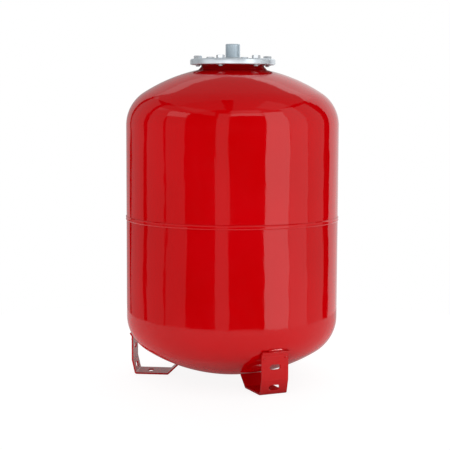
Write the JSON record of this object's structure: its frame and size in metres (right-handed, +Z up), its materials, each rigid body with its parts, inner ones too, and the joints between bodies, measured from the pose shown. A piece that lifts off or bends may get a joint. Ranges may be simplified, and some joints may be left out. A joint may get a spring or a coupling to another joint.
{
  "type": "expansion vessel",
  "caption": "Floor-standing heating expansion vessel: red domed steel tank on strap feet, with a bolted zinc flange, a pipe nipple on top, a rubber bladder and a gas valve below.",
  "frame": {"origin": "on the tank's axis, at floor level under the feet", "axes": "+Z up along the tank's axis, towards the nipple; the first foot faces -Y"},
  "size_m": [0.3828, 0.3828, 0.597],
  "materials": {
    "red_paint": "gloss",
    "zinc_plate": "satin",
    "zinc_fasteners": "satin",
    "rubber": "matt",
    "brass": "satin",
    "black_plastic": "matt",
    "spring_steel": "satin"
  },
  "bodies": {
    "vessel": {"upper_shell": "red_paint", "lower_shell": "red_paint", "seam_weld": "red_paint", "neck_collar": "red_paint", "neck_weld": "red_paint", "boss_weld": "red_paint", "foot_1": "red_paint", "foot_2": "red_paint", "foot_3": "red_paint", "foot_outer_weld_1": "red_paint", "foot_outer_weld_2": "red_paint", "foot_outer_weld_3": "red_paint", "foot_inner_weld_1": "red_paint", "foot_inner_weld_2": "red_paint", "foot_inner_weld_3": "red_paint", "flange_plate": "zinc_plate", "water_nipple": "zinc_plate", "nipple_weld": "zinc_plate", "valve_boss": "zinc_plate", "flange_bolt_1": "zinc_fasteners", "flange_bolt_2": "zinc_fasteners", "flange_bolt_3": "zinc_fasteners", "flange_bolt_4": "zinc_fasteners", "flange_bolt_5": "zinc_fasteners", "flange_bolt_6": "zinc_fasteners", "flange_nut_1": "zinc_fasteners", "flange_nut_2": "zinc_fasteners", "flange_nut_3": "zinc_fasteners", "flange_nut_4": "zinc_fasteners", "flange_nut_5": "zinc_fasteners", "flange_nut_6": "zinc_fasteners", "bladder": "rubber", "stem_seal": "rubber", "core_gasket": "rubber", "valve_stem": "brass", "core_sleeve": "brass", "core_spring": "spring_steel"},
    "pin": {"core_pin": "brass", "pin_seal": "rubber"},
    "cap_seal_carrier": {"cap_seal": "rubber"},
    "cap": {"valve_cap": "black_plastic"}
  },
  "joints": [
    {"name": "pin_press", "type": "slide", "parent": "vessel", "child": "pin", "axis": [0, 0, 1], "range_m": [0, 0.0015], "stiffness_N_per_m": 800, "springref_m": -0.003, "deforming": ["core_spring"]},
    {"name": "cap_travel", "type": "slide", "parent": "vessel", "child": "cap_seal_carrier", "axis": [0, 0, -1], "range_m": [0, 0.0095]},
    {"name": "cap_turn", "type": "hinge", "parent": "cap_seal_carrier", "child": "cap", "pos_m": [0, 0, 0.02], "axis": [0, 0, -1], "range_deg": [0, 4320]}
  ],
  "couplings": [
    {"joint": "cap_turn", "follows": "cap_travel", "rad_per_m": 7915.8}
  ]
}
